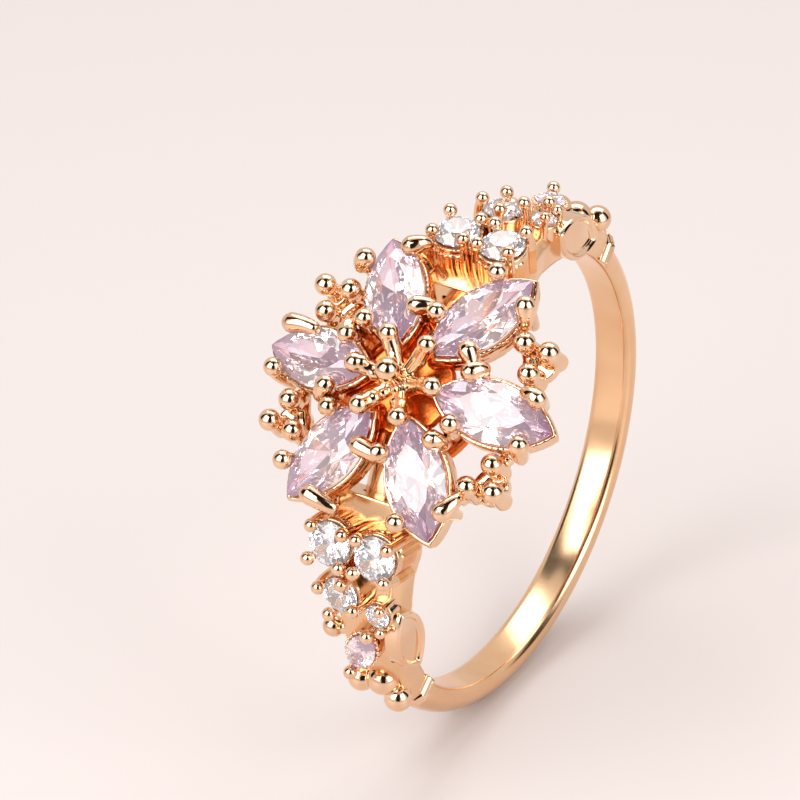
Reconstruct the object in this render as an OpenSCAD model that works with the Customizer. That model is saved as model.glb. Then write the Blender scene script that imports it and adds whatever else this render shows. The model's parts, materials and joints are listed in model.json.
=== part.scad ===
// Flower cocktail ring: a plain band, two jewelled shoulders and a raised
// six-petal flower head, standing on its band with the flower leaning forward.
// Origin at the centre of the finger hole, +X along the finger, +Z up.

/* [Band] */
// Diameter of the finger hole
finger_d = 18.2; // [16:0.1:21]
// Width of the band along the finger
band_w = 1.75; // [1.5:0.05:2.4]
// Radial thickness of the band at its middle
band_t = 1.2; // [1:0.05:1.6]
// Height of the straight side of the band below its rounded top
band_side = 0.55; // [0.4:0.05:0.8]
// Angle of the flower's axis above horizontal
head_lean = 46; // [30:1:90]

/* [Flower] */
// Number of petals
petal_count = 6; // [6:1:6]
// Length of one marquise stone
petal_l = 4.8; // [4:0.1:5.6]
// Width of one marquise stone
petal_w = 2.4; // [2:0.1:2.6]
// Distance from the flower's axis to the inner tip of a petal
petal_inner_r = 1.5; // [1.4:0.05:2]
// Height of the middle of a petal above the band
petal_lift = 0.55; // [0.5:0.05:1.2]
// Droop of a petal towards its outer tip
petal_droop = 12; // [6:1:16]
// Thickness of the rail that the flower stands on
rail_t = 0.8; // [0.6:0.05:1]
// Width of that rail in plan
rail_w = 0.6; // [0.5:0.05:0.8]

/* [Settings] */
// Thickness of a collet wall below a stone
collet_t = 0.34; // [0.28:0.02:0.4]
// Height of a petal's collet wall
collet_h = 0.75; // [0.5:0.05:0.9]
// Radius of the ball on a petal prong
petal_ball_r = 0.36; // [0.26:0.01:0.36]
// Radius of a petal prong's post
petal_post_r = 0.19; // [0.15:0.01:0.22]
// Distance along the petal from its middle to the outer prongs
outer_prong_u = 1.5; // [1.2:0.05:1.7]
// Distance along the petal from its middle to the inner prongs
inner_prong_u = 1.25; // [1:0.05:1.4]
// Gap between a stone and the metal that holds it
stone_gap = 0.03; // [0.02:0.01:0.06]

/* [Centre and bead clusters] */
// Radius of the centre bead
centre_ball_r = 0.44; // [0.36:0.02:0.5]
// Height of the centre bead above the petals' middle
centre_lift = 1.85; // [1.5:0.05:2.1]
// Radius of a bead in the side clusters
cluster_ball_r = 0.4; // [0.3:0.01:0.4]
// Distance from the flower's axis to a cluster's outer bead
cluster_r = 5.7; // [5.5:0.05:6.2]
// Distance between the inner and the outer beads of a cluster
cluster_step = 0.85; // [0.8:0.05:1]
// Height of a cluster's beads below the petals' middle
cluster_drop = 0.3; // [0.1:0.05:0.5]

/* [Shoulders] */
// Width of a shoulder beside the flower
shoulder_w = 3.6; // [3.2:0.1:3.8]
// Thickness of a shoulder over the band, beside the flower
shoulder_t = 0.45; // [0.35:0.05:0.6]
// Diameter of the two stones side by side
twin_d = 1.8; // [1.5:0.05:1.9]
// Gap between those two stones
twin_gap = 0.2; // [0.16:0.02:0.4]
// Height of the twin stones above the band
twin_lift = 1.35; // [1.2:0.05:1.6]
// Diameter of the single stone behind them
single_d = 1.5; // [1.2:0.05:1.6]
// Diameter of the small accent stone beside it
accent_d = 1; // [0.8:0.05:1.1]
// Length of the leaf-shaped shoulder stone
leaf_l = 2.4; // [2:0.1:2.6]
// Width of the leaf-shaped shoulder stone
leaf_w = 1.2; // [1:0.05:1.3]
// Radius of the beads that hold the shoulder stones
small_ball_r = 0.25; // [0.2:0.01:0.27]
// Radius of the ball on a shoulder's left side
side_ball_r = 0.42; // [0.36:0.02:0.46]
// Radius of the ball where a shoulder ends
end_ball_r = 0.5; // [0.4:0.02:0.55]

/* [Hidden] */
$fn = 48;

gold = [0.87, 0.63, 0.44];
lilac = [0.86, 0.76, 0.87];
clear = [0.92, 0.93, 0.95];

finger_r = finger_d / 2;
band_r = finger_r + band_t;
rail_r = finger_r + rail_t;
petal_turn = 360 / petal_count;
petal_z = band_r + petal_lift;
petal_mid_r = petal_inner_r + petal_l / 2 * cos(petal_droop);
cluster_z = petal_z - cluster_drop;
cluster_spread = 7.5;
cluster_post_r = 0.3;
cluster_post_l = 1.25;
cluster_foot_r = 0.72;
cluster_bar = 0.9;
cluster_foot_t = 0.5;

// longer than any part of the ring, for solids and cuts that go right through
far = 20;

// the rail under the flower stays clear of the band's sides, and struts rise from it
gallery_r = band_w + 0.85;
strut_r = 0.2;
strut_y = 0.45;
strut_lap = 0.02;
strut_rise = 0.15;
post_drop = 0.1;

// proportions of a cut stone, as shares of its width
table_share = 0.56;
crown_share = 0.16;
pavilion_share = 0.4;
girdle_t = 0.06;

// a collet's top lies below the girdle and its wall reaches in under the stone
collet_drop = 0.34;
collet_lap = 0.15;

// a prong's ball sits outside the girdle and above the crown's edge
prong_out = 0.14;

// the pistil: its stem, the hub round its foot, its arms and the bead at each end
stem_r = 0.34;
hub_t = 0.25;
arm_r = 0.27;
arm_ball_r = 0.36;
arm_reach = petal_inner_r + 0.2;
arm_clear = 0.34;
arm_root = 0.78;

// everything beyond the twin stones sits this many degrees nearer the flower on
// the lower shoulder than on the upper one
lower_setback = 3;

// a shoulder steps down from the flower to the plain band, in four zones that
// start at angles around the finger, each with its width and its thickness
shoulder_from = 24;
shoulder_ends = [43, 56, 70, 84];
shoulder_end_w = band_w + 0.3;
shoulder_end_t = 0.12;
twin_angle = 34;
single_angle = 48.5;
single_x = -0.65;
accent_angle = 51.5;
accent_x = 0.9;
leaf_angle = 62;
leaf_x = 0.05;
leaf_turn = 24;
guard_angle = 60;
guard_l = 3.2;
guard_w = 1.7;
guard_t = 0.45;
guard_turn = 78;
end_angle = 77;
end_step = 0.72;
bulge_r = 0.65;
collar_angle = 88;
small_post_r = 0.15;

// tubes and prongs of the shoulder settings start this far below their stones,
// inside the shoulder, and are then trimmed to its surface
seat_depth = 2;
seat_wall = 0.08;
seat_lap = 0.22;
seat_drop = 0.26;
flute_r = 0.16;

// how far the collar stands proud of the band, and half the angle it covers
collar_rise = 0.2;
collar_half = 3.2;

// half width of a marquise outline at u along its length, grown by e
function lens_r(l, w) = (l * l + w * w) / (4 * w);
function lens_v(l, w, u, e = 0) = sqrt(pow(lens_r(l, w) + e, 2) - u * u) - lens_r(l, w) + w / 2;

// a point in a petal's own tilted frame, as seen from the flower's axis
function petal_point(u, v, h) = [
    petal_mid_r + u * cos(petal_droop) + h * sin(petal_droop),
    v,
    petal_z - u * sin(petal_droop) + h * cos(petal_droop)
];

// how wide a shoulder is in zone i and how far its top is from the finger's axis
function shoulder_half(i) = (shoulder_w + (shoulder_end_w - shoulder_w) * i / 3) / 2;
function shoulder_top(i) = band_r + shoulder_t + (shoulder_end_t - shoulder_t) * i / 3;

// an outline of 16 points for a round or a marquise stone
function round_outline(d) = [for (i = [0:15]) d / 2 * [cos(22.5 * i), sin(22.5 * i)]];
function lens_outline(l, w) = [
    for (i = [0:15])
    let (u = l / 2 * cos(22.5 * i))
    [u, (i < 8 ? 1 : -1) * lens_v(l, w, u)]
];

function setback(lower) = lower ? lower_setback : 0;

// the angle that a distance along the band covers
function along(distance) = distance / band_r * 180 / PI;

// places its children on the finger's circle, +Z outwards and +Y along it
module on_ring(angle, r, x = 0) {
    translate([x, r * sin(angle), r * cos(angle)]) rotate([-angle, 0, 0]) children();
}

// turns a profile, drawn as [radius, -x], around the finger's axis
module ring_sweep(from = 0, sweep = 360) {
    rotate([0, -90, 0]) rotate([0, 0, from]) rotate_extrude(angle = sweep, $fn = 120) children();
}

// leans the flower forward from straight up
module lean() {
    rotate([90 - head_lean, 0, 0]) children();
}

// the second shoulder mirrors the first
module shoulder_side(lower) {
    lean() mirror([0, lower ? 1 : 0, 0]) children();
}

module lens(l, w, e) {
    reach = lens_r(l, w) - w / 2;
    intersection() {
        translate([0, reach]) circle(r = lens_r(l, w) + e, $fn = 96);
        translate([0, -reach]) circle(r = lens_r(l, w) + e, $fn = 96);
    }
}

// a round rod between two points
module rod(from, to, r) {
    axis = to - from;
    translate(from) rotate([0, acos(axis[2] / norm(axis)), atan2(axis[1], axis[0])])
        cylinder(r = r, h = norm(axis));
}

// a faceted stone on its girdle, table up
module cut_stone(outline, w) {
    top = [for (i = [0:2:15]) concat(table_share * outline[i], [girdle_t / 2 + crown_share * w])];
    upper = [for (p = outline) concat(p, [girdle_t / 2])];
    under = [for (p = outline) concat(p, [-girdle_t / 2])];
    culet = [[0, 0, -girdle_t / 2 - pavilion_share * w]];
    polyhedron(
        points = concat(top, upper, under, culet),
        faces = concat(
            [[for (i = [7:-1:0]) i]],
            [for (i = [0:7]) [i, 8 + 2 * i, 8 + (2 * i + 15) % 16]],
            [for (i = [0:7]) [i, 8 + 2 * i + 1, 8 + 2 * i]],
            [for (i = [0:7]) [i, (i + 1) % 8, 8 + 2 * i + 1]],
            [for (i = [0:15]) [8 + i, 8 + (i + 1) % 16, 24 + (i + 1) % 16]],
            [for (i = [0:15]) [8 + i, 24 + (i + 1) % 16, 24 + i]],
            [for (i = [0:15]) [24 + i, 24 + (i + 1) % 16, 40]]
        )
    );
}

// everything that the band and its rail fill, out to their outer surfaces
module ring_core() {
    rotate([0, 90, 0]) cylinder(r = rail_r, h = far, center = true, $fn = 120);
    rotate([0, 90, 0]) cylinder(r = band_r, h = band_w, center = true, $fn = 120);
}

module shoulder_solid(lower) {
    for (i = [0:3])
        ring_sweep(shoulder_from, shoulder_ends[i] - shoulder_from - setback(lower))
            translate([finger_r, -shoulder_half(i)])
                square([shoulder_top(i) - finger_r, 2 * shoulder_half(i)]);
}

module both_shoulders() {
    shoulder_solid(false);
    mirror([0, 1, 0]) shoulder_solid(true);
}

// the plain band, flat inside and rounded outside
module shank() {
    dome = band_t - band_side;
    dome_r = (band_w * band_w / 4 + dome * dome) / (2 * dome);
    color(gold) lean() ring_sweep() intersection() {
        translate([finger_r, -band_w / 2]) square([band_t, band_w]);
        translate([band_r - dome_r, 0]) circle(r = dome_r, $fn = 96);
    }
}

// one side of the pierced rail that follows the finger under the flower
module gallery(side) {
    color(gold) lean() intersection() {
        ring_sweep() translate([finger_r, -far / 2]) square([rail_t, far]);
        linear_extrude(height = far) intersection() {
            translate([side > 0 ? band_w / 2 : -far, -far / 2]) square([far - band_w / 2, far]);
            union() {
                difference() {
                    circle(r = gallery_r + rail_w / 2);
                    circle(r = gallery_r - rail_w / 2);
                }
                for (i = [0:petal_count - 1]) rotate(petal_turn * i) translate([0, -rail_w / 2])
                    square([gallery_r, rail_w]);
            }
        }
    }
}

// a solid that fills one petal's collet out to its outer wall
module petal_block(i) {
    rotate([0, 0, petal_turn * i]) translate([petal_mid_r, 0, petal_z]) rotate([0, petal_droop, 0])
        translate([0, 0, -collet_drop - collet_h]) linear_extrude(height = collet_h)
            lens(petal_l, petal_w, collet_t - collet_lap);
}

// one petal's collet, with four ball prongs and two struts down to the rail
module petal_collet(i) {
    post_e = stone_gap + petal_post_r;
    ball_h = petal_ball_r + prong_out;
    foot_h = -collet_drop - collet_h;
    color(gold) lean() difference() {
        union() {
            difference() {
                petal_block(i);
                rotate([0, 0, petal_turn * i]) translate([petal_mid_r, 0, petal_z]) rotate([0, petal_droop, 0])
                    translate([0, 0, -far / 2]) linear_extrude(height = far) lens(petal_l, petal_w, -collet_lap);
            }
            rotate([0, 0, petal_turn * i]) {
                for (u = [-inner_prong_u, outer_prong_u], side = [-1, 1]) {
                    ball = petal_point(u, side * (lens_v(petal_l, petal_w, u) + prong_out), ball_h);
                    post = petal_point(u, side * (lens_v(petal_l, petal_w, u) + post_e), foot_h - post_drop);
                    translate(ball) sphere(r = petal_ball_r);
                    rod(post, [post[0], post[1], ball[2]], petal_post_r);
                }
                for (side = [-1, 1]) rod(
                    [gallery_r, side * strut_y, finger_r],
                    petal_point(0, side * (petal_w / 2 + strut_lap), foot_h + strut_rise),
                    strut_r
                );
            }
        }
        ring_core();
        both_shoulders();
    }
}

module petal_stone(i) {
    color(lilac) lean() rotate([0, 0, petal_turn * i]) translate([petal_mid_r, 0, petal_z]) rotate([0, petal_droop, 0])
        cut_stone(lens_outline(petal_l, petal_w), petal_w);
}

// the raised centre: one bead on a stem, with an arm to each inner petal tip
module centre_pistil() {
    inner_tip_z = petal_z + petal_l / 2 * sin(petal_droop);
    tip_z = inner_tip_z + arm_ball_r + arm_clear;
    color(gold) lean() difference() {
        union() {
            translate([0, 0, petal_z + centre_lift]) sphere(r = centre_ball_r);
            cylinder(r = stem_r, h = petal_z + centre_lift);
            cylinder(r = petal_inner_r, h = band_r + hub_t);
            for (i = [0:petal_count - 1]) rotate([0, 0, petal_turn * i]) {
                rod([0, 0, petal_z + arm_root], [arm_reach, 0, tip_z], arm_r);
                translate([arm_reach, 0, tip_z]) sphere(r = arm_ball_r);
            }
        }
        for (i = [0:petal_count - 1]) petal_block(i);
        ring_core();
    }
}

// three beads on posts, on a bar between two neighbouring collets
module bead_cluster(angle) {
    inner_r = cluster_r - cluster_step;
    bar_r = inner_r - 0.3;
    foot_z = cluster_z - cluster_post_l;
    color(gold) lean() difference() {
        rotate([0, 0, angle]) {
            for (p = [
                [cluster_r, 0, cluster_z],
                [inner_r * cos(cluster_spread), inner_r * sin(cluster_spread), cluster_z],
                [inner_r * cos(cluster_spread), -inner_r * sin(cluster_spread), cluster_z]
            ]) {
                translate(p) sphere(r = cluster_ball_r);
                translate([p[0], p[1], foot_z]) cylinder(r = cluster_post_r, h = cluster_post_l);
            }
            translate([inner_r, 0, foot_z]) cylinder(r = cluster_foot_r, h = cluster_foot_t);
            translate([bar_r - cluster_bar / 2, -bar_r / 2 * tan(petal_turn / 2), foot_z])
                cube([cluster_bar, bar_r * tan(petal_turn / 2), cluster_foot_t]);
        }
        for (i = [0:petal_count - 1]) petal_block(i);
        ring_core();
    }
}

// the cast shoulder that straddles the band
module shoulder(lower) {
    color(gold) shoulder_side(lower) difference() {
        shoulder_solid(lower);
        rotate([0, 90, 0]) cylinder(r = band_r, h = band_w, center = true, $fn = 120);
    }
}

// a tube that seats a round stone of diameter d at radius r, with its prongs
module round_setting(angle, r, x, d, prong_angles) {
    on_ring(angle, r, x) {
        translate([0, 0, -seat_depth]) difference() {
            cylinder(r = d / 2 + seat_wall, h = seat_depth - seat_drop);
            cylinder(r = d / 2 - seat_lap, h = far, center = true);
        }
        for (a = prong_angles) rotate([0, 0, a]) {
            translate([d / 2 + seat_wall, 0, small_ball_r + 0.05]) sphere(r = small_ball_r);
            translate([d / 2 + stone_gap + small_post_r, 0, -seat_depth])
                cylinder(r = small_post_r, h = seat_depth + small_ball_r);
        }
    }
}

// what a setting on the shoulder stands on
module shoulder_floor(lower) {
    ring_core();
    shoulder_solid(lower);
}

twin_r = band_r + twin_lift;
twin_x = (twin_d + twin_gap) / 2;
single_r = band_r + 0.95;
accent_r = band_r + 0.75;
leaf_r = band_r + 0.85;

module twin_setting(lower) {
    color(gold) shoulder_side(lower) difference() {
        union() {
            round_setting(twin_angle, twin_r, -twin_x, twin_d, [45, 135, 225, 315]);
            round_setting(twin_angle, twin_r, twin_x, twin_d, [45, 135, 225, 315]);
            on_ring(twin_angle, twin_r) for (side = [-1, 1], a = [-150:20:-50])
                translate([side * twin_x, 0, -seat_depth]) rotate([0, 0, a])
                    translate([twin_d / 2, 0, 0]) cylinder(r = flute_r, h = seat_depth - 2 * seat_drop);
            on_ring(twin_angle, twin_r) translate([-twin_x, -twin_d / 4, -seat_depth])
                cube([2 * twin_x, twin_d / 2, seat_depth - 2 * seat_drop]);
        }
        on_ring(twin_angle, twin_r) for (side = [-1, 1])
            translate([side * twin_x, 0, 0]) cylinder(r = twin_d / 2 - seat_lap, h = far, center = true);
        shoulder_floor(lower);
    }
}

module single_setting(lower) {
    color(gold) shoulder_side(lower) difference() {
        round_setting(single_angle - setback(lower), single_r, single_x, single_d, [20, 110, 200, 290]);
        shoulder_floor(lower);
    }
}

module accent_setting(lower) {
    color(gold) shoulder_side(lower) difference() {
        round_setting(accent_angle - setback(lower), accent_r, accent_x, accent_d, [-60, 60]);
        shoulder_floor(lower);
    }
}

module leaf_setting(lower) {
    color(gold) shoulder_side(lower) difference() {
        on_ring(leaf_angle - setback(lower), leaf_r, leaf_x) rotate([0, 0, 90 + leaf_turn]) {
            translate([0, 0, -seat_depth]) linear_extrude(height = seat_depth - seat_drop) difference() {
                lens(leaf_l, leaf_w, prong_out);
                lens(leaf_l, leaf_w, -collet_lap);
            }
            for (side = [-1, 1]) {
                translate([side * (leaf_l / 2 + prong_out), 0, small_ball_r]) sphere(r = small_ball_r);
                translate([side * (leaf_l / 2 + stone_gap + small_post_r), 0, -seat_depth])
                    cylinder(r = small_post_r, h = seat_depth + small_ball_r);
            }
        }
        shoulder_floor(lower);
    }
}

// the ball that stands out on the shoulder's left side
module side_ball(lower) {
    color(gold) shoulder_side(lower) difference() {
        on_ring(leaf_angle - setback(lower), band_r + 0.1, -shoulder_half(2) - 0.3) sphere(r = side_ball_r);
        shoulder_floor(lower);
    }
}

// a leaf-shaped plate on the shoulder's right side
module leaf_guard(lower) {
    color(gold) shoulder_side(lower) difference() {
        on_ring(guard_angle - setback(lower), finger_r + 1, shoulder_half(2)) rotate([0, 90, 0]) rotate([0, 0, guard_turn])
            linear_extrude(height = guard_t) lens(guard_l, guard_w, 0);
        on_ring(accent_angle - setback(lower), accent_r, accent_x)
            cylinder(r = accent_d / 2 + stone_gap + 2 * small_post_r, h = far, center = true);
        shoulder_floor(lower);
    }
}

// the balls and the bulge where a shoulder runs out into the band
module end_beads(lower) {
    angle = end_angle - setback(lower);
    color(gold) shoulder_side(lower) difference() {
        union() {
            on_ring(angle, band_r + 0.3, -0.85) sphere(r = end_ball_r);
            on_ring(angle + along(end_step), band_r + 0.35, 0.6) sphere(r = end_ball_r);
            on_ring(angle - along(end_step) / 4, band_r + 0.15, 0.1) sphere(r = bulge_r);
        }
        rotate([0, 90, 0]) cylinder(r = shoulder_top(3), h = far, center = true, $fn = 120);
    }
}

// the raised collar between the shoulder and the plain band
module collar(lower) {
    color(gold) shoulder_side(lower) difference() {
        ring_sweep(collar_angle - setback(lower) - collar_half, 2 * collar_half) translate([finger_r, -band_w / 2 - collar_rise])
            square([band_t + collar_rise, band_w + 2 * collar_rise]);
        rotate([0, 90, 0]) cylinder(r = band_r, h = band_w, center = true, $fn = 120);
    }
}

module round_stone(lower, angle, r, x, d) {
    color(clear) shoulder_side(lower) on_ring(angle, r, x) cut_stone(round_outline(d), d);
}

module twin_stone(lower, side) {
    round_stone(lower, twin_angle, twin_r, side * twin_x, twin_d);
}

module leaf_stone(lower) {
    color(lilac) shoulder_side(lower) on_ring(leaf_angle - setback(lower), leaf_r, leaf_x) rotate([0, 0, 90 + leaf_turn])
        cut_stone(lens_outline(leaf_l, leaf_w), leaf_w);
}

shank();
gallery(-1);  // gallery_left
gallery(1);  // gallery_right
centre_pistil();
petal_collet(0);  // petal_collet_1
petal_collet(1);  // petal_collet_2
petal_collet(2);  // petal_collet_3
petal_collet(3);  // petal_collet_4
petal_collet(4);  // petal_collet_5
petal_collet(5);  // petal_collet_6
petal_stone(0);  // petal_stone_1
petal_stone(1);  // petal_stone_2
petal_stone(2);  // petal_stone_3
petal_stone(3);  // petal_stone_4
petal_stone(4);  // petal_stone_5
petal_stone(5);  // petal_stone_6
bead_cluster(30);  // bead_cluster_1
bead_cluster(150);  // bead_cluster_2
bead_cluster(210);  // bead_cluster_3
bead_cluster(330);  // bead_cluster_4
shoulder(false);  // upper_shoulder
twin_setting(false);  // upper_twin_setting
single_setting(false);  // upper_single_setting
accent_setting(false);  // upper_accent_setting
leaf_setting(false);  // upper_leaf_setting
leaf_guard(false);  // upper_leaf_guard
side_ball(false);  // upper_side_ball
end_beads(false);  // upper_end_beads
collar(false);  // upper_collar
twin_stone(false, -1);  // upper_twin_stone_left
twin_stone(false, 1);  // upper_twin_stone_right
round_stone(false, single_angle, single_r, single_x, single_d);  // upper_single_stone
round_stone(false, accent_angle, accent_r, accent_x, accent_d);  // upper_accent_stone
leaf_stone(false);  // upper_leaf_stone
shoulder(true);  // lower_shoulder
twin_setting(true);  // lower_twin_setting
single_setting(true);  // lower_single_setting
accent_setting(true);  // lower_accent_setting
leaf_setting(true);  // lower_leaf_setting
leaf_guard(true);  // lower_leaf_guard
side_ball(true);  // lower_side_ball
end_beads(true);  // lower_end_beads
collar(true);  // lower_collar
twin_stone(true, -1);  // lower_twin_stone_left
twin_stone(true, 1);  // lower_twin_stone_right
round_stone(true, single_angle - lower_setback, single_r, single_x, single_d);  // lower_single_stone
round_stone(true, accent_angle - lower_setback, accent_r, accent_x, accent_d);  // lower_accent_stone
leaf_stone(true);  // lower_leaf_stone
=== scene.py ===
import json
import math
import random

import bmesh
import bpy
import numpy as np
from mathutils import Matrix, Vector


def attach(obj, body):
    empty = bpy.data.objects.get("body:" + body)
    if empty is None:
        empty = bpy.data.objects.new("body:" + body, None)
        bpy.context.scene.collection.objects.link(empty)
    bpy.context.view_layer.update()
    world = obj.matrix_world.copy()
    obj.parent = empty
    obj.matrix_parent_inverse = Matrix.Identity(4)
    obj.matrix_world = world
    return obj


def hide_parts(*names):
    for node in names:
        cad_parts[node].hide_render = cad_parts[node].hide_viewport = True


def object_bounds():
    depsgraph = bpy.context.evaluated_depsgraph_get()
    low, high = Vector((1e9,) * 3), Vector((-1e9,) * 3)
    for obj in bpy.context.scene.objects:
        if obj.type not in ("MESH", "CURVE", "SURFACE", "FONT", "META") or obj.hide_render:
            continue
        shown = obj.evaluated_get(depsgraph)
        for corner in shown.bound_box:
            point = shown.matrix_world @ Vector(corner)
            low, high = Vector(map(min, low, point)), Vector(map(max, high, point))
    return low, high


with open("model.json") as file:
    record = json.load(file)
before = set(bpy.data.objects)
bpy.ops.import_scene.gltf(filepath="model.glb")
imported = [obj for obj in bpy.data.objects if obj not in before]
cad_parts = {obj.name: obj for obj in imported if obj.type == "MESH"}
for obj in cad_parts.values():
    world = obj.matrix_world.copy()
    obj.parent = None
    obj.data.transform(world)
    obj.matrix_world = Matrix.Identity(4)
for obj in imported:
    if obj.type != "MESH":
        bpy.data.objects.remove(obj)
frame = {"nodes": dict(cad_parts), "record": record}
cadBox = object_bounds()
scene = bpy.context.scene

# ---- the bench: millimetres, x along the finger, y along the band's top, z out of the flower
mm = 0.001


def nodePoints(name):
    return np.array([v.co for v in frame["nodes"][name].data.vertices]) / mm


petalCount = 6
flowerMiddle = np.mean([nodePoints(f"petal_stone_{i + 1}").mean(0) for i in range(petalCount)], axis=0)
headLean = math.atan2(flowerMiddle[2], -flowerMiddle[1])  # the flower's axis above horizontal
benchTurn = Matrix.Rotation(math.pi / 2 - headLean, 4, "X")
benchToRow = Matrix.Scale(mm, 4) @ benchTurn
rowToBench = np.array(benchTurn.to_3x3())


def benchBox(name):
    points = nodePoints(name) @ rowToBench
    return points.min(0), points.max(0)


fingerRadius = frame["record"]["mounts"][0]["dims"]["r_mm"]
shankLow, shankHigh = benchBox("shank")
bandWidth = shankHigh[0] - shankLow[0]
bandTop = shankHigh[2]  # the band's outer radius


def ringPlace(name):
    # where a node's middle is: degrees from the flower, mm along the finger, mm from its axis
    low, high = benchBox(name)
    x, y, z = (low + high) / 2
    return math.degrees(math.atan2(abs(y), z)), x, math.hypot(y, z)


camera = {
    "azimuth": 31.3,
    "elevation": 31.7,
    "distance": 160.8,  # mm from the middle of the finger hole
    "lens": 180.0,
    "aimRight": -4.1,  # mm, what the camera looks at beside the middle
    "aimUp": 2.67,
}


def sightAxes(azimuth, elevation):
    a, e = math.radians(azimuth), math.radians(elevation)
    back = Vector((math.sin(a) * math.cos(e), -math.cos(a) * math.cos(e), math.sin(e)))
    right = Vector((math.cos(a), math.sin(a), 0))
    return right, back.cross(right), back


def addCamera(values):
    right, up, back = sightAxes(values["azimuth"], values["elevation"])
    data = bpy.data.cameras.new("camera")
    data.lens = values["lens"]
    data.sensor_width = 36
    data.clip_start = 0.005
    holder = bpy.data.objects.new("camera", data)
    aim = right * values["aimRight"] + up * values["aimUp"]
    holder.location = (aim + back * values["distance"]) * mm
    holder.rotation_euler = back.to_track_quat("Z", "Y").to_euler()
    scene.collection.objects.link(holder)
    scene.camera = holder


addCamera(camera)
print("camera placed, flower leans", round(math.degrees(headLean), 1))

# ---- materials


def linear(hexColour):
    parts = [int(hexColour[i:i + 2], 16) / 255 for i in (1, 3, 5)]
    return [c / 12.92 if c <= 0.04045 else ((c + 0.055) / 1.055) ** 2.4 for c in parts] + [1.0]


def addNode(tree, kind, settings=None, links=None):
    node = tree.nodes.new(kind)
    for name, value in (settings or {}).items():
        if isinstance(name, int) or name in node.inputs:
            node.inputs[name].default_value = value
        else:
            setattr(node, name, value)
    for name, source in (links or {}).items():
        tree.links.new(source, node.inputs[name])
    return node


def newMaterial(name):
    material = bpy.data.materials.new(name)
    material.use_nodes = True
    tree = material.node_tree
    shader = tree.nodes["Principled BSDF"]
    return material, tree, shader


def addRamp(tree, source, stops):
    ramp = addNode(tree, "ShaderNodeValToRGB", links={"Fac": source})
    while len(ramp.color_ramp.elements) < len(stops):
        ramp.color_ramp.elements.new(0.5)
    for element, (place, colour) in zip(ramp.color_ramp.elements, stops):
        element.position = place
        element.color = linear(colour) if isinstance(colour, str) else (colour,) * 3 + (1,)
    return ramp


def goldMaterial(name, values):
    # rose-gold plate over cast metal: a warm mirror that goes orange where gold reflects gold
    material, tree, shader = newMaterial(name)
    place = addNode(tree, "ShaderNodeTexCoord")
    cloud = addNode(tree, "ShaderNodeTexNoise", {"Scale": 1 / (values["cloudSize"] * mm), "Detail": 3.0},
                    {"Vector": place.outputs["Object"]})
    colour = addRamp(tree, cloud.outputs["Fac"], [(0.3, values["deep"]), (0.7, values["pale"])])
    tree.links.new(colour.outputs["Color"], shader.inputs["Base Color"])
    grain = addNode(tree, "ShaderNodeTexNoise", {"Scale": 1 / (values["grainSize"] * mm), "Detail": 2.0},
                    {"Vector": place.outputs["Object"]})
    rough = addNode(tree, "ShaderNodeMapRange", {"To Min": values["roughness"] * 0.7,
                    "To Max": values["roughness"] * 1.3}, {"Value": grain.outputs["Fac"]})
    tree.links.new(rough.outputs["Result"], shader.inputs["Roughness"])
    bump = addNode(tree, "ShaderNodeBump", {"Strength": values["bump"], "Distance": values["bumpDepth"] * mm},
                   {"Height": grain.outputs["Fac"]})
    tree.links.new(bump.outputs["Normal"], shader.inputs["Normal"])
    shader.inputs["Metallic"].default_value = 1.0
    return material


polishedGold = {
    "deep": "#E9BC96", "pale": "#F5D3B2", "cloudSize": 2.5,
    "roughness": 0.07, "grainSize": 0.6, "bump": 0.08, "bumpDepth": 0.04,
}
bandGold = {
    "deep": "#E9B98C", "pale": "#F3CBA2", "cloudSize": 3.0,
    "roughness": 0.19, "grainSize": 1.2, "bump": 0.05, "bumpDepth": 0.04,
}
# cast finish and painted shade: a rough, grainy cast surface in a deeper orange standing in for shade on the twin
# setting's lower flutes
castGoldAndShade = {
    "deep": "#E59A5C", "pale": "#F2B880", "cloudSize": 0.8,
    "roughness": 0.2, "grainSize": 0.1, "bump": 0.35, "bumpDepth": 0.03,
}
shadedGold = {
    "deep": "#D66A2C", "pale": "#E38544", "cloudSize": 0.8,
    "roughness": 0.22, "grainSize": 0.15, "bump": 0.2, "bumpDepth": 0.03,
}
goldPlate = goldMaterial("polishedRoseGoldPlate", polishedGold)
goldBand = goldMaterial("buffedRoseGoldBand", bandGold)  # softer than the beads: worn in by the buffing wheel
goldCastAndShade = goldMaterial("castAndShadedRoseGold", castGoldAndShade)
goldShaded = goldMaterial("paintedShadeRecessRoseGold", shadedGold)  # painted shade: a darker, deeper orange gold standing in for the shade and gold-on-gold reflection in the recesses under the flower


def zirconiaMaterial(name, values):
    # cubic zirconia: very high index, so facets flash white and show colour at the points
    material, tree, shader = newMaterial(name)
    along = addNode(tree, "ShaderNodeAttribute", {"attribute_name": "towardsTip"})
    colour = addRamp(tree, along.outputs["Fac"], values["tints"])
    tree.links.new(colour.outputs["Color"], shader.inputs["Base Color"])
    shader.inputs["Transmission Weight"].default_value = values["transmission"]
    shader.inputs["IOR"].default_value = 2.15
    # painted glow: a faint emission standing in for the light that many more bounces between facets would bring back
    shader.inputs["Emission Color"].default_value = linear(values["paintedGlow"])
    shader.inputs["Emission Strength"].default_value = 0.05
    shader.inputs["Roughness"].default_value = 0.0
    return material


lilacStone = {"tints": [(0.0, "#FFE9DE"), (0.4, "#FBE9F7"), (0.75, "#F2CBE6"), (1.0, "#DC97C8")],
              "transmission": 0.92, "paintedGlow": "#FBE2EE"}
clearStone = {"tints": [(0.0, "#FFFFFF"), (1.0, "#F6F4FC")], "transmission": 0.96, "paintedGlow": "#EEF0FA"}
lilacZirconia = zirconiaMaterial("lilacCubicZirconia", lilacStone)
clearZirconia = zirconiaMaterial("clearCubicZirconia", clearStone)
print("materials made")

# ---- geometry nodes: wires become round rods, and beaded points become balls


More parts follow.
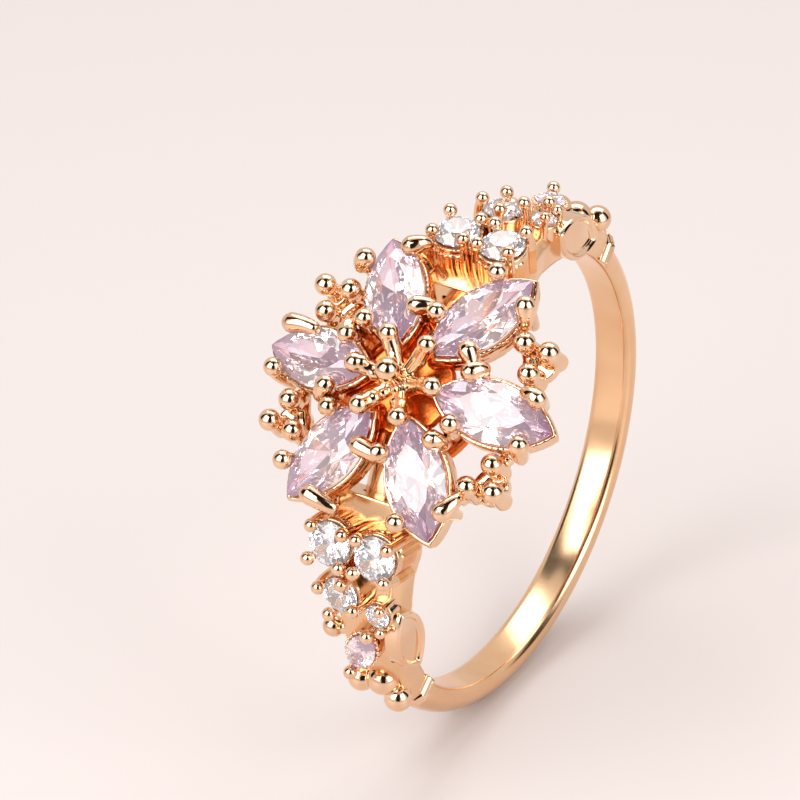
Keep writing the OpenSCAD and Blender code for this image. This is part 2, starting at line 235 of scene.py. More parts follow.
def makeWireTree():
    tree = bpy.data.node_groups.new("rodsAndBeads", "GeometryNodeTree")
    tree.interface.new_socket("Geometry", in_out="INPUT", socket_type="NodeSocketGeometry")
    for name, kind in (("Rod sides", "NodeSocketInt"), ("Bead detail", "NodeSocketInt"),
                       ("Metal", "NodeSocketMaterial")):
        tree.interface.new_socket(name, in_out="INPUT", socket_type=kind)
    tree.interface.new_socket("Geometry", in_out="OUTPUT", socket_type="NodeSocketGeometry")
    source = addNode(tree, "NodeGroupInput")
    isWire = addNode(tree, "GeometryNodeInputNamedAttribute", {"data_type": "BOOLEAN", "Name": "isWire"})
    rodRadius = addNode(tree, "GeometryNodeInputNamedAttribute", {"data_type": "FLOAT", "Name": "rodRadius"})
    beadRadius = addNode(tree, "GeometryNodeInputNamedAttribute", {"data_type": "FLOAT", "Name": "beadRadius"})
    path = addNode(tree, "GeometryNodeMeshToCurve", links={
        "Mesh": source.outputs["Geometry"], "Selection": isWire.outputs["Attribute"]})
    sized = addNode(tree, "GeometryNodeSetCurveRadius", links={
        "Curve": path.outputs["Curve"], "Radius": rodRadius.outputs["Attribute"]})
    section = addNode(tree, "GeometryNodeCurvePrimitiveCircle", {"Radius": 1.0},
                      {"Resolution": source.outputs["Rod sides"]})
    rods = addNode(tree, "GeometryNodeCurveToMesh", {"Fill Caps": True}, {
        "Curve": sized.outputs["Curve"], "Profile Curve": section.outputs["Curve"]})
    if "Scale" in rods.inputs:
        tree.links.new(rodRadius.outputs["Attribute"], rods.inputs["Scale"])
    hasBead = addNode(tree, "FunctionNodeCompare", {"operation": "GREATER_THAN", 1: 0.001},
                      {0: beadRadius.outputs["Attribute"]})
    ball = addNode(tree, "GeometryNodeMeshIcoSphere", {"Radius": 1.0},
                   {"Subdivisions": source.outputs["Bead detail"]})
    beads = addNode(tree, "GeometryNodeInstanceOnPoints", links={
        "Points": source.outputs["Geometry"], "Selection": hasBead.outputs["Result"],
        "Instance": ball.outputs["Mesh"], "Scale": beadRadius.outputs["Attribute"]})
    joined = addNode(tree, "GeometryNodeJoinGeometry")
    for piece in (source.outputs["Geometry"], rods.outputs["Mesh"], beads.outputs["Instances"]):
        tree.links.new(piece, joined.inputs["Geometry"])
    real = addNode(tree, "GeometryNodeRealizeInstances", links={"Geometry": joined.outputs["Geometry"]})
    metal = addNode(tree, "GeometryNodeSetMaterial", links={
        "Geometry": real.outputs["Geometry"], "Material": source.outputs["Metal"]})
    sink = addNode(tree, "NodeGroupOutput")
    tree.links.new(metal.outputs["Geometry"], sink.inputs["Geometry"])
    return tree


wireTree = makeWireTree()


def setInput(modifier, name, value):
    for item in modifier.node_group.interface.items_tree:
        if item.name == name and item.in_out == "INPUT":
            modifier[item.identifier] = value


# ---- shapes on the bench: points, faces, and wires with a radius at each point


def newShape():
    return {"points": [], "faces": [], "edges": [], "rods": [], "beads": []}


def addPoints(shape, points, rods, bead=0.0):
    first = len(shape["points"])
    shape["points"] += [tuple(p) for p in points]
    shape["rods"] += list(rods)
    shape["beads"] += [0.0] * (len(points) - 1) + [bead]
    return first


def addRod(shape, points, radii, bead=0.0):
    if not isinstance(radii, (list, tuple)):
        radii = [radii] * len(points)
    first = addPoints(shape, points, radii, bead)
    shape["edges"] += [(first + i, first + i + 1) for i in range(len(points) - 1)]


def addBead(shape, point, radius):
    addPoints(shape, [point], [0.0], radius)


def addLoft(shape, rings, loop=False):
    size = len(rings[0])
    first = addPoints(shape, [p for ring in rings for p in ring], [0.0] * size * len(rings))
    count = len(rings)
    for i in range(count if loop else count - 1):
        a, b = first + i * size, first + (i + 1) % count * size
        for j in range(size):
            k = (j + 1) % size
            shape["faces"].append((a + j, a + k, b + k, b + j))
    if not loop:
        shape["faces"].append(tuple(range(first + size - 1, first - 1, -1)))
        shape["faces"].append(tuple(first + (count - 1) * size + j for j in range(size)))


def bend(start, middle, end, steps=8):
    a, b, c = Vector(start), Vector(middle), Vector(end)
    return [a * (1 - t) ** 2 + b * 2 * t * (1 - t) + c * t * t for t in (i / steps for i in range(steps + 1))]


def moved(matrix, points):
    return [matrix @ Vector(p) for p in points]


def lensHalf(length, width, u, grow=0.0):
    arc = (length * length + width * width) / (4 * width)
    inside = (arc + grow) ** 2 - u * u
    return max(math.sqrt(max(inside, 0.0)) - arc + width / 2, 0.0)


def lensPoint(length, width, angle, grow=0.0):
    arc = (length * length + width * width) / (4 * width)
    reach = math.sqrt((arc + grow) ** 2 - (arc - width / 2) ** 2)
    u = reach * math.cos(angle)
    v = lensHalf(length, width, u, grow)
    return u, v if math.sin(angle) >= 0 else -v


def circlePoint(diameter, angle, grow=0.0):
    radius = diameter / 2 + grow
    return radius * math.cos(angle), radius * math.sin(angle)


def addWall(shape, matrix, outline, section, steps=48):
    # a closed wall around an outline; section is a loop of (grow, height) pairs
    rings = []
    for i in range(steps):
        angle = 2 * math.pi * i / steps
        rings.append(moved(matrix, [outline(angle, grow) + (height,) for grow, height in section]))
    addLoft(shape, rings, loop=True)


def softened(mesh, fillet, polish):
    # fillet rounds melt the joins, polish rounds take the ripples out and keep the size
    count = len(mesh.vertices)
    co = np.empty(count * 3)
    mesh.vertices.foreach_get("co", co)
    co = co.reshape(-1, 3)
    ends = np.empty(len(mesh.edges) * 2, np.int64)
    mesh.edges.foreach_get("vertices", ends)
    a, b = ends[0::2], ends[1::2]
    valence = np.maximum(np.bincount(a, minlength=count) + np.bincount(b, minlength=count), 1)
    for weight in [0.5] * fillet + [0.5, -0.53] * polish:
        total = np.empty_like(co)
        for axis in range(3):
            total[:, axis] = (np.bincount(a, co[b, axis], count) + np.bincount(b, co[a, axis], count)) / valence
        co += weight * (total - co)
    mesh.vertices.foreach_set("co", co.ravel())
    mesh.update()


def shownMesh(shape, name):
    mesh = bpy.data.meshes.new(name)
    mesh.from_pydata(shape["points"], shape["edges"], shape["faces"])
    mesh.update(calc_edges=True)
    for key, values in (("rodRadius", shape["rods"]), ("beadRadius", shape["beads"])):
        mesh.attributes.new(key, "FLOAT", "POINT").data.foreach_set("value", values)
    wires = [i < len(shape["edges"]) for i in range(len(mesh.edges))]
    mesh.attributes.new("isWire", "BOOLEAN", "EDGE").data.foreach_set("value", wires)
    return mesh


def finishPiece(piece, node):
    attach(piece, "root")
    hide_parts(node)


def castPiece(node, shape, metal, voxel=0.045, fillet=2, polish=8, second=goldShaded, inPaintedShade=None):
    piece = bpy.data.objects.new("cast_" + node, shownMesh(shape, node))
    scene.collection.objects.link(piece)
    wires = piece.modifiers.new("rods and beads", "NODES")
    wires.node_group = wireTree
    setInput(wires, "Rod sides", 20)
    setInput(wires, "Bead detail", 4)
    setInput(wires, "Metal", metal)
    skin = piece.modifiers.new("skin", "REMESH")
    skin.mode = "VOXEL"
    skin.voxel_size = voxel
    mesh = bpy.data.meshes.new_from_object(piece.evaluated_get(bpy.context.evaluated_depsgraph_get()))
    piece.modifiers.clear()
    piece.data = mesh
    softened(mesh, fillet, polish)
    # painted shade: faces that the mask picks take a darker gold
    if inPaintedShade:
        middles = np.empty(len(mesh.polygons) * 3)
        mesh.polygons.foreach_get("center", middles)
        mesh.polygons.foreach_set("material_index", inPaintedShade(middles.reshape(-1, 3)).astype(np.int32))
    mesh.transform(benchToRow)
    mesh.polygons.foreach_set("use_smooth", [True] * len(mesh.polygons))
    while len(mesh.materials) < 2:
        mesh.materials.append(None)
    mesh.materials[0], mesh.materials[1] = metal, second
    finishPiece(piece, node)


# ---- the band


band = {"edgeRound": 0.34, "sideHeight": 0.55, "steps": 240}


def makeBand(values):
    half = bandWidth / 2
    thick = bandTop - fingerRadius
    dome = thick - values["sideHeight"]
    arc = (half * half + dome * dome) / (2 * dome)
    edge = values["edgeRound"]
    profile = [(half - edge * (1 - math.sin(t)), fingerRadius + edge * (1 - math.cos(t)))
               for t in (math.pi / 2 * i / 5 for i in range(6))]
    swing = math.asin(half / arc)
    profile += [(arc * math.sin(t), bandTop - arc + arc * math.cos(t))
                for t in (swing * (1 - i / 8) for i in range(17))]
    profile += [(-x, r) for x, r in profile[5::-1]]
    rings = []
    for i in range(values["steps"]):
        t = 2 * math.pi * i / values["steps"]
        rings.append([(x, r * math.sin(t), r * math.cos(t)) for x, r in profile])
    shape = newShape()
    addLoft(shape, rings, loop=True)
    mesh = bpy.data.meshes.new("shank")
    mesh.from_pydata(shape["points"], [], shape["faces"])
    tidyNormals(mesh)
    mesh.transform(benchToRow)
    mesh.polygons.foreach_set("use_smooth", [True] * len(mesh.polygons))
    mesh.materials.append(goldBand)
    piece = bpy.data.objects.new("cast_shank", mesh)
    scene.collection.objects.link(piece)
    finishPiece(piece, "shank")


def tidyNormals(mesh):
    work = bmesh.new()
    work.from_mesh(mesh)
    bmesh.ops.remove_doubles(work, verts=work.verts, dist=1e-5)
    bmesh.ops.recalc_face_normals(work, faces=work.faces)
    work.to_mesh(mesh)
    work.free()


makeBand(band)
print("band made")

# ---- the flower

flower = {
    "petalLength": 4.8, "petalWidth": 2.4, "droop": 12.0,
    "innerRadius": 1.5, "lift": 0.55,
    "tableShare": 0.56, "crownShare": 0.16, "pavilionShare": 0.4, "girdle": 0.06,
    "wallDrop": 0.34, "wallHeight": 0.75, "wallGrow": 0.19,
    "clawRadius": 0.23, "clawBead": 0.39, "outerClaw": 1.5, "innerClaw": 1.25,
    "hubRadius": 1.9, "hubTop": 0.3,
}
galleryLow, galleryHigh = benchBox("gallery_right")
gallery = {"thickness": 0.8, "width": 0.6}
gallery["radius"] = galleryHigh[0] - gallery["width"] / 2
petalMiddle = flower["innerRadius"] + flower["petalLength"] / 2 * math.cos(math.radians(flower["droop"]))
petalHeight = bandTop + flower["lift"]
# claws hammered over with a tail, by petal and corner: mm along the petal, outwards and up
tailedClaws = {
    (0, 0): (-0.5, 0.1, -0.1), (0, 1): (0.1, 0.3, -0.8), (0, 2): (0.4, 0.3, -0.15),
    (1, 1): (-0.4, 0.35, -0.6), (1, 3): (-0.2, 0.5, -0.3),
    (2, 0): (0.0, 0.4, -0.5), (2, 1): (0.1, 0.55, -0.15), (2, 3): (-0.1, 0.6, -0.2),
    (3, 1): (-1.0, 0.05, -0.15), (3, 2): (0.3, 0.4, -0.3), (3, 3): (0.2, 0.5, -0.2),
    (4, 0): (-0.3, 0.95, -0.3), (4, 2): (-0.35, 0.95, -0.15),
    (5, 0): (-0.4, 0.6, -0.25), (5, 2): (0.2, 0.3, -0.4), (5, 3): (0.1, 0.4, -0.3),
}


def petalMatrix(i):
    return (Matrix.Rotation(math.radians(60 * i), 4, "Z")
            @ Matrix.Translation((petalMiddle, 0, petalHeight))
            @ Matrix.Rotation(math.radians(flower["droop"]), 4, "Y"))


def petalOutline(angle, grow=0.0):
    return lensPoint(flower["petalLength"], flower["petalWidth"], angle, grow)


def paintedShadeUnderFlower(points):
    # painted shade: the space between the inner halves of the collets, under the flower, which takes the darker recess
    # gold
    reach = np.hypot(points[:, 0], points[:, 1])
    return (reach < 3.1) & (points[:, 2] < petalHeight + 0.35 - 0.2 * reach)


def makePetalCollet(i):
    shape = newShape()
    turn = petalMatrix(i)
    top = -flower["wallDrop"] + 0.2
    foot = -flower["wallDrop"] - flower["wallHeight"]
    out = flower["wallGrow"]
    addWall(shape, turn, petalOutline, [
        (-0.06, top - 0.1), (0.02, top), (out * 0.7, top), (out, top - 0.2), (out, top - 0.32),
        (out * 0.5, top - 0.42), (out * 0.8, top - 0.55), (out * 0.6, foot), (-0.18, foot), (-0.2, top - 0.3)], 72)
    corners = [(flower["outerClaw"], 1), (flower["outerClaw"], -1),
               (-flower["innerClaw"], 1), (-flower["innerClaw"], -1)]
    for corner, (u, side) in enumerate(corners):
        v = lensHalf(flower["petalLength"], flower["petalWidth"], u)
        bead = flower["clawBead"]
        tip = Vector((u, side * (v + 0.13), bead + 0.12))
        path = bend((u, side * (v + 0.24), foot), (u, side * (v + 0.38), 0.2), tip)
        addRod(shape, moved(turn, path), [flower["clawRadius"] * (1 + 0.05 * k) for k in range(9)], bead)
        if (i, corner) in tailedClaws:
            along, aside, rise = tailedClaws[(i, corner)]
            reach = Vector((along, side * aside, rise))
            sag = tip + reach * 0.5 + Vector((0, side * 0.08, 0.1))
            addRod(shape, moved(turn, bend(tip, sag, tip + reach)),
                   [bead * (1.08 - 0.045 * k) for k in range(9)], bead * 0.7)
    for side in (-1, 1):
        start = Matrix.Rotation(math.radians(60 * i), 4, "Z") @ Vector((gallery["radius"], side * 0.45, fingerRadius + 0.75))
        end = turn @ Vector((0, side * (flower["petalWidth"] / 2), foot + 0.15))
        addRod(shape, [start, end], 0.2)
    castPiece(f"petal_collet_{i + 1}", shape, goldPlate, inPaintedShade=paintedShadeUnderFlower)


for petal in range(petalCount):
    makePetalCollet(petal)
print("petal collets cast")

# ---- cut stones


def makeStone(node, matrix, outline, width, material):
    values = flower
    crown, deep, girdle = values["crownShare"] * width, values["pavilionShare"] * width, values["girdle"] / 2
    table, star, lower = values["tableShare"], 0.8, 0.45
    flat = math.cos(math.radians(22.5))
    starHeight = crown * (1 - (star * flat - table) / (1 - table))

    def ring(share, height, offset, count):
        found = []
        for k in range(count):
            u, v = outline(math.radians(360 / count * k + offset))
            found.append((u * share, v * share, height))
        return found

    points = ring(table, girdle + crown, 0, 8) + ring(star, girdle + starHeight, 22.5, 8)
    points += ring(1, girdle, 0, 16) + ring(1, -girdle, 0, 16)
    points += ring(lower, -girdle - deep * (1 - lower * flat), 22.5, 8) + [(0, 0, -girdle - deep)]
    t, s, g, h, p, culet = 0, 8, 16, 32, 48, 56
    faces = [tuple(range(8))]
    for k in range(8):
        n = (k + 1) % 8
        faces.append((t + k, s + k, t + n))
        faces.append((t + k, s + (k + 7) % 8, g + 2 * k, s + k))
        faces.append((s + k, g + 2 * k, g + 2 * k + 1))
        faces.append((s + k, g + 2 * k + 1, g + (2 * k + 2) % 16))
        faces.append((h + 2 * k, h + 2 * k + 1, p + k))
        faces.append((h + 2 * k + 1, h + (2 * k + 2) % 16, p + k))
        faces.append((culet, p + (k + 7) % 8, h + 2 * k, p + k))
    for k in range(16):
        faces.append((g + k, g + (k + 1) % 16, h + (k + 1) % 16, h + k))
    mesh = bpy.data.meshes.new(node)
    mesh.from_pydata(moved(matrix, points), [], faces)
    reach = max(abs(x) for x, y, z in points)
    share = [abs(x) / reach for x, y, z in points]
    mesh.attributes.new("towardsTip", "FLOAT", "POINT").data.foreach_set("value", share)
    tidyNormals(mesh)
    mesh.transform(benchToRow)
    mesh.materials.append(material)
    piece = bpy.data.objects.new("cut_" + node, mesh)
    scene.collection.objects.link(piece)
    finishPiece(piece, node)


for petal in range(petalCount):
    makeStone(f"petal_stone_{petal + 1}", petalMatrix(petal), petalOutline, flower["petalWidth"],
              lilacZirconia)

centre = {
    "beadRadius": 0.48, "lift": 1.85, "stem": 0.4, "tipBead": 0.4, "armRoot": 0.28, "armTip": 0.36,
    "tipClear": 0.34}
dice = random.Random(7)


def makeCentre(values):
    shape = newShape()
    top = petalHeight + values["lift"]
    rise = flower["petalLength"] / 2 * math.sin(math.radians(flower["droop"]))
    addRod(shape, [(0, 0, bandTop - 0.1), (0, 0, top)], values["stem"], values["beadRadius"])
    addRod(shape, [(0, 0, bandTop - 0.1), (0, 0, bandTop + flower["hubTop"])], flower["hubRadius"])
    for i in range(petalCount):
        turn = Matrix.Rotation(math.radians(60 * i), 4, "Z")
        tip = Vector((flower["innerRadius"] + 0.2, 0, petalHeight + rise + values["tipBead"] + values["tipClear"]))
        path = bend((0.1, 0, petalHeight + 0.55), (1.0, 0, petalHeight + 0.75), tip)
        radii = [values["armRoot"] + (values["armTip"] - values["armRoot"]) * k / 8 for k in range(9)]
        addRod(shape, moved(turn, path), radii, values["tipBead"])
        for k in range(1, 8):
            nudge = Vector([dice.uniform(-0.09, 0.09) for axis in range(3)])
            addBead(shape, turn @ (path[k] + nudge), radii[k] * 0.92)
        post = (flower["innerRadius"] - 0.15, 0, petalHeight - 0.3)
        addRod(shape, moved(turn, [post, tip]), [0.16, 0.3])
    castPiece("centre_pistil", shape, goldPlate, inPaintedShade=paintedShadeUnderFlower)


makeCentre(centre)

cluster = {
    "radius": 5.7, "step": 0.85, "spread": 7.5, "drop": 0.3, "bead": 0.44, "post": 0.34,
    "postLength": 1.25}


def makeCluster(number, angle):
    values = cluster
    shape = newShape()
    turn = Matrix.Rotation(math.radians(angle), 4, "Z")
    inner = values["radius"] - values["step"]
    spread = math.radians(values["spread"])
    height = petalHeight - values["drop"]
    base = height - values["postLength"]
    spots = [(values["radius"], 0), (inner * math.cos(spread), inner * math.sin(spread)),
             (inner * math.cos(spread), -inner * math.sin(spread))]
    for x, y in spots:
        addRod(shape, moved(turn, [(x, y, base), (x, y, height)]),
               [values["post"] * 1.1, values["post"] * 0.9], values["bead"])
        addBead(shape, turn @ Vector((x * 0.96, y * 1.2, height - 0.75)), values["post"] * 0.8)
    addRod(shape, moved(turn, [(inner + 0.2, 0, base), (inner + 0.2, 0, base + 0.45)]), 0.72)
    addRod(shape, moved(turn, [(inner - 0.3, -1.25, base + 0.25), (inner - 0.15, 0, base + 0.3),
                               (inner - 0.3, 1.25, base + 0.25)]), 0.3)
    castPiece(f"bead_cluster_{number}", shape, goldPlate)


for number, angle in enumerate((30, 150, 210, 330)):
    makeCluster(number + 1, angle)


def makeGallery(node, side):
    shape = newShape()
    values = gallery
    middle = fingerRadius + values["thickness"] / 2
    rise = lambda y: math.sqrt(middle ** 2 - y ** 2)
    limit = math.acos((bandWidth / 2 + 0.25) / values["radius"])
    ring = []
    for i in range(25):
        t = -limit + 2 * limit * i / 24
        y = values["radius"] * math.sin(t)
        ring.append((side * values["radius"] * math.cos(t), y, rise(y)))
    addRod(shape, ring, 0.34)
    addRod(shape, [(side * (bandWidth / 2 + 0.25), 0, middle), (side * values["radius"], 0, middle)], 0.32)
    castPiece(node, shape, goldPlate, inPaintedShade=paintedShadeUnderFlower)


makeGallery("gallery_left", -1)
makeGallery("gallery_right", 1)
print("flower made")

# ---- the shoulders

shoulder = {
    "from": 24.0, "to": 86.0,
    "widths": [(24, 3.45), (40, 3.5), (46, 3.05), (56, 2.75), (68, 2.45), (76, 2.1), (86, 1.95)],
    "tops": [(24, 0.4), (42, 0.42), (56, 0.32), (70, 0.22), (86, 0.1)],
    "twinDiameter": 1.8, "twinLift": 1.35, "singleDiameter": 1.5, "singleLift": 0.95,
    "accentDiameter": 1.0, "accentLift": 0.75, "leafTurn": 24.0, "leafLength": 2.4, "leafWidth": 1.2, "leafLift": 0.85,
    "guardLength": 3.2, "guardWidth": 1.7, "guardTurn": 78.0, "smallBead": 0.28, "smallPost": 0.18,
    "endBead": 0.56, "endAngle": 77.0,
}
setback = {1: 0.0, -1: ringPlace("upper_collar")[0] - ringPlace("lower_collar")[0]}


def between(stops, at):
    return float(np.interp(at, [a for a, b in stops], [b for a, b in stops]))


def ringMatrix(side, angle, radius, x=0.0):
    # +Z out of the band, +Y along it and away from the flower
    t = math.radians(angle)
    place = Matrix.Translation((x, radius * math.sin(t), radius * math.cos(t))) @ Matrix.Rotation(-t, 4, "X")
    return Matrix.Scale(side, 4, (0, 1, 0)) @ place


def makeShoulder(name, side):
    values = shoulder
    shape = newShape()
    hole = bandWidth / 2 - 0.05
    rings = []
    steps = 48
    last = values["to"] - setback[side]
    for i in range(steps + 1):
        angle = values["from"] + (last - values["from"]) * i / steps
        half = between(values["widths"], angle + setback[side]) / 2
        top = bandTop + between(values["tops"], angle + setback[side])
        low, turn = fingerRadius + 0.02, ringMatrix(side, angle, 0)
        section = [(hole, low), (half - 0.1, low), (half, low + 0.25), (half, top - 0.45), (half * 0.86, top - 0.1),
                   (half * 0.4, top), (-half * 0.4, top), (-half * 0.86, top - 0.1), (-half, top - 0.45),
                   (-half, low + 0.25), (-half + 0.1, low), (-hole, low), (-hole, bandTop - 0.3), (hole, bandTop - 0.3)]
        rings.append(moved(turn, [(x, 0, r) for x, r in section]))
    addLoft(shape, rings)
    castPiece(name + "_shoulder", shape, goldBand, voxel=0.05)


def roundSeat(shape, turn, diameter, depth, clawAngles, bead, post):
    outline = lambda angle, grow: circlePoint(diameter, angle, grow)
    addWall(shape, turn, outline, [
        (-0.03, -0.16), (0.07, -0.14), (0.09, -0.26), (0.06, -depth), (-0.2, -depth), (-0.2, -0.35)], 40)
    for degrees in clawAngles:
        t = math.radians(degrees)
        aside = lambda grow, height: circlePoint(diameter, t, grow) + (height,)
        path = bend(aside(post, -depth), aside(post + 0.1, 0.1), aside(0.07, bead + 0.07))
        addRod(shape, moved(turn, path), post, bead)


def makeTwinSetting(name, side):
    values = shoulder
    shape = newShape()
    angle, apart, r = ringPlace(name + "_twin_stone_right")
    turn = ringMatrix(side, angle, bandTop + values["twinLift"])
    for hand in (-1, 1):
        spot = turn @ Matrix.Translation((hand * apart, 0, 0))
        roundSeat(shape, spot, values["twinDiameter"], 1.6, [45, 135, 225, 315],
                  values["smallBead"], values["smallPost"])
        for degrees in range(-165, -10, 15):
            u, v = circlePoint(values["twinDiameter"], math.radians(degrees), 0.04)
            addRod(shape, moved(spot, [(u, v, -0.4), (u, v, -1.75)]), 0.13)
    addRod(shape, moved(turn, [(0, -0.2, -0.9), (0, 0.2, -0.9)]), 0.3)
    # painted shade: the flutes below the cup top take the deeper cast gold
    cupTop = math.hypot(*turn.translation.yz) - 0.45
    castPiece(name + "_twin_setting", shape, goldPlate, voxel=0.04, second=goldCastAndShade,
              inPaintedShade=lambda points: np.hypot(points[:, 1], points[:, 2]) < cupTop)


def makeSmallSeats(name, side):
    values = shoulder
    shape = newShape()
    angle, x, r = ringPlace(name + "_single_stone")
    turn = ringMatrix(side, angle, bandTop + values["singleLift"], x)
    roundSeat(shape, turn, values["singleDiameter"], 1.0, [20, 110, 200, 290],
              values["smallBead"], values["smallPost"])
    castPiece(name + "_single_setting", shape, goldPlate, voxel=0.04)
    shape = newShape()
    angle, x, r = ringPlace(name + "_accent_stone")
    turn = ringMatrix(side, angle, bandTop + values["accentLift"], x)
    roundSeat(shape, turn, values["accentDiameter"], 0.8, [-60, 60],
              values["smallBead"] * 0.8, values["smallPost"] * 0.8)
    castPiece(name + "_accent_setting", shape, goldPlate, voxel=0.035)


def leafOutline(angle, grow=0.0):
    return lensPoint(shoulder["leafLength"], shoulder["leafWidth"], angle, grow)


def leafMatrix(name, side):
    values = shoulder
    angle, x, r = ringPlace(name + "_leaf_stone")
    spot = ringMatrix(side, angle, bandTop + values["leafLift"], x)
    return spot @ Matrix.Rotation(math.radians(90 + values["leafTurn"]), 4, "Z")


def makeLeafSetting(name, side):
    values = shoulder
    shape = newShape()
    turn = leafMatrix(name, side)
    addWall(shape, turn, leafOutline, [
        (-0.03, -0.12), (0.09, -0.12), (0.12, -0.3), (0.1, -0.9), (-0.14, -0.9), (-0.14, -0.3)], 48)
    for i in range(26):
        u, v = leafOutline(2 * math.pi * i / 26, 0.07)
        addBead(shape, turn @ Vector((u, v, -0.08)), 0.085)
    for end in (-1, 1):
        reach = end * (values["leafLength"] / 2 + 0.14)
        addRod(shape, moved(turn, [(reach * 1.06, 0, -0.9), (reach, 0, 0.2)]), 0.19, values["smallBead"])
    castPiece(name + "_leaf_setting", shape, goldPlate, voxel=0.035, fillet=1)


def makeLeafGuard(name, side):
    # a bowed leaf with a raised rim, cupped like a petal
    values = shoulder
    shape = newShape()
    low, high = benchBox(name + "_leaf_guard")
    angle, x, r = ringPlace(name + "_leaf_guard")
    out, back = high[0] + 0.08, low[0] - 0.15
    turn = (ringMatrix(side, angle, fingerRadius + 1.0)
            @ Matrix.Rotation(math.pi / 2, 4, "Y")
            @ Matrix.Rotation(math.radians(values["guardTurn"]), 4, "Z"))
    outline = lambda angle, grow: lensPoint(values["guardLength"], values["guardWidth"], angle, grow)
    addWall(shape, turn, outline, [(0.1, back), (0.1, out - 0.12), (0.0, out), (-0.12, out - 0.06),
                                   (-0.18, out - 0.16), (-0.18, back)], 48)
    plate = [moved(turn, [outline(2 * math.pi * i / 32, grow) + (h,) for i in range(32)])
             for grow, h in ((-0.1, back), (-0.1, out - 0.2), (-0.5, out - 0.16))]
    addLoft(shape, plate)
    castPiece(name + "_leaf_guard", shape, goldPlate, voxel=0.035)


def makeEnds(name, side):
    values = shoulder
    shape = newShape()
    angle, x, r = ringPlace(name + "_side_ball")
    spot = ringMatrix(side, angle, r, x - 0.05)
    root = ringMatrix(side, angle, bandTop - 0.15, -0.9)
    addRod(shape, [root.translation, spot.translation], [0.3, 0.3], 0.44)
    castPiece(name + "_side_ball", shape, goldPlate)
    shape = newShape()
    for shift, lift, x, radius in ((0, 0.3, -0.85, values["endBead"]), (4, 0.35, 0.6, values["endBead"]),
                                   (-1, 0.15, 0.1, 0.65)):
        angle = values["endAngle"] - setback[side] + shift
        spot = ringMatrix(side, angle, bandTop + lift, x)
        foot = ringMatrix(side, angle, bandTop - 0.3, x * 0.6)
        addRod(shape, [foot.translation, spot.translation], radius * 0.85, radius)
    castPiece(name + "_end_beads", shape, goldPlate, fillet=5)
    shape = newShape()
    rings = []
    for i in range(25):
        share = i / 24
        angle = ringPlace(name + "_collar")[0] - 3.1 + 6.2 * share
        swell = 0.14 * math.sin(math.pi * share) ** 0.6 + 0.05 * math.cos(6 * math.pi * share)
        half, top = bandWidth / 2 + 0.05 + swell, bandTop + 0.02 + swell
        turn = ringMatrix(side, angle, 0)
        rings.append(moved(turn, [(x, 0, r) for x, r in (
            (half, fingerRadius + 0.02), (half, top - 0.5), (half * 0.75, top - 0.12), (half * 0.3, top),
            (-half * 0.3, top), (-half * 0.75, top - 0.12), (-half, top - 0.5), (-half, fingerRadius + 0.02),
            (-bandWidth / 2 + 0.08, fingerRadius + 0.02), (-bandWidth / 2 + 0.08, bandTop - 0.5),
            (0, bandTop - 0.2), (bandWidth / 2 - 0.08, bandTop - 0.5), (bandWidth / 2 - 0.08, fingerRadius + 0.02))]))
    addLoft(shape, rings)
    castPiece(name + "_collar", shape, goldPlate, fillet=1)


def makeShoulderStones(name, side):
    values = shoulder
    for ending in ("twin_stone_left", "twin_stone_right", "single_stone", "accent_stone"):
        kind = ending.split("_")[0]
        diameter = values[kind + "Diameter"]
        angle, x, r = ringPlace(f"{name}_{ending}")
        turn = ringMatrix(side, angle, bandTop + values[kind + "Lift"], x)
        outline = lambda angle, size=diameter: circlePoint(size, angle)
        makeStone(f"{name}_{ending}", turn, outline, diameter, clearZirconia)
    makeStone(name + "_leaf_stone", leafMatrix(name, side), leafOutline, values["leafWidth"],
              lilacZirconia)


for name, side in (("upper", 1), ("lower", -1)):
    makeShoulder(name, side)
    makeTwinSetting(name, side)
    makeSmallSeats(name, side)
    makeLeafSetting(name, side)
    makeLeafGuard(name, side)
    makeEnds(name, side)
    makeShoulderStones(name, side)
    print(name, "shoulder made")

# ---- floor and light

studio = {
    "floor": "#C8C0BE", "air": "#FFF9F5", "airStrength": 0.82,
    "keyPower": 0.24, "fillPower": 0.15, "boxDistance": 180.0, "cardDistance": 200.0,
}


def makeFloor(values):
    low = cadBox[0].z
    size = 3.0
    mesh = bpy.data.meshes.new("floor")
    mesh.from_pydata([(-size, -size, low), (size, -size, low), (size, size, low), (-size, size, low)],
                     [], [(0, 1, 2, 3)])
    material, tree, shader = newMaterial("paleFloor")
    shader.inputs["Base Color"].default_value = linear(values["floor"])
    shader.inputs["Roughness"].default_value = 0.55
    mesh.materials.append(material)
    floor = bpy.data.objects.new("floor", mesh)
    scene.collection.objects.link(floor)


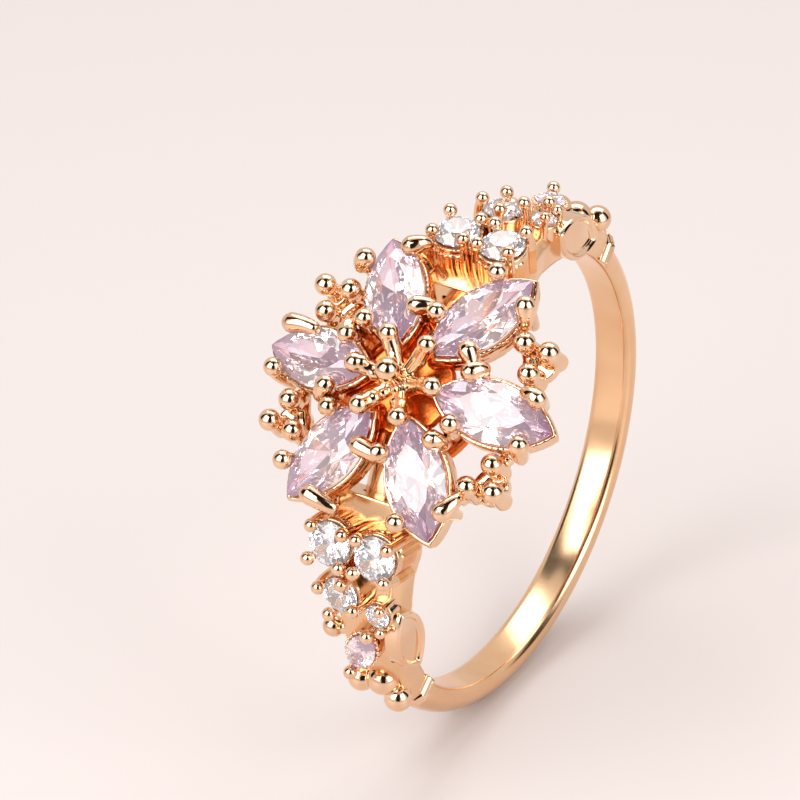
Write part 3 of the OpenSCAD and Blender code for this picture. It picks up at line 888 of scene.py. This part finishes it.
def makeAir(values):
    world = bpy.data.worlds.new("air")
    world.use_nodes = True
    shade = world.node_tree.nodes["Background"]
    shade.inputs["Color"].default_value = linear(values["air"])
    shade.inputs["Strength"].default_value = values["airStrength"]
    scene.world = world


def addSoftbox(name, azimuth, elevation, distance, width, height, power, colour="#FFFFFF"):
    right, up, back = sightAxes(azimuth, elevation)
    data = bpy.data.lights.new(name, "AREA")
    data.shape = "RECTANGLE"
    data.size, data.size_y = width * mm, height * mm
    data.energy = power
    data.color = linear(colour)[:3]
    lamp = bpy.data.objects.new(name, data)
    lamp.location = back * distance * mm
    lamp.rotation_euler = back.to_track_quat("Z", "Y").to_euler()
    scene.collection.objects.link(lamp)


def addDarkCard(name, azimuth, elevation, distance, corners):
    # seen only in reflections: it draws the dark bar in every bead
    right, up, back = sightAxes(azimuth, elevation)
    mesh = bpy.data.meshes.new(name)
    mesh.from_pydata([(right * x + up * y + back * distance) * mm for x, y in corners],
                     [], [tuple(range(len(corners)))])
    material, tree, shader = newMaterial("blackFelt")
    shader.inputs["Base Color"].default_value = linear("#14120F")
    shader.inputs["Roughness"].default_value = 1.0
    mesh.materials.append(material)
    card = bpy.data.objects.new(name, mesh)
    scene.collection.objects.link(card)
    card.visible_camera = card.visible_diffuse = card.visible_shadow = False


makeFloor(studio)
makeAir(studio)
reach = studio["boxDistance"]
addSoftbox("softboxLeft", camera["azimuth"] - 48, 38, reach, 130, 170, studio["keyPower"])
addSoftbox("softboxRight", camera["azimuth"] + 48, 30, reach, 110, 160, studio["fillPower"])
addSoftbox("softboxTop", camera["azimuth"] + 170, 60, reach, 180, 90, studio["fillPower"])
addDarkCard("cameraCard", camera["azimuth"], camera["elevation"], studio["cardDistance"], [
    (-58, -110), (58, -110), (58, 190), (190, 190), (190, 330), (-190, 330), (-190, 190), (-58, 190)])
addDarkCard("leftStrip", camera["azimuth"] - 100, 20, studio["cardDistance"],
            [(-40, -60), (40, -60), (40, 200), (-40, 200)])
addDarkCard("rightStrip", camera["azimuth"] + 95, 15, studio["cardDistance"],
            [(-40, -50), (40, -50), (40, 160), (-40, 160)])
scene.view_settings.view_transform = "Standard"
print("studio lit")
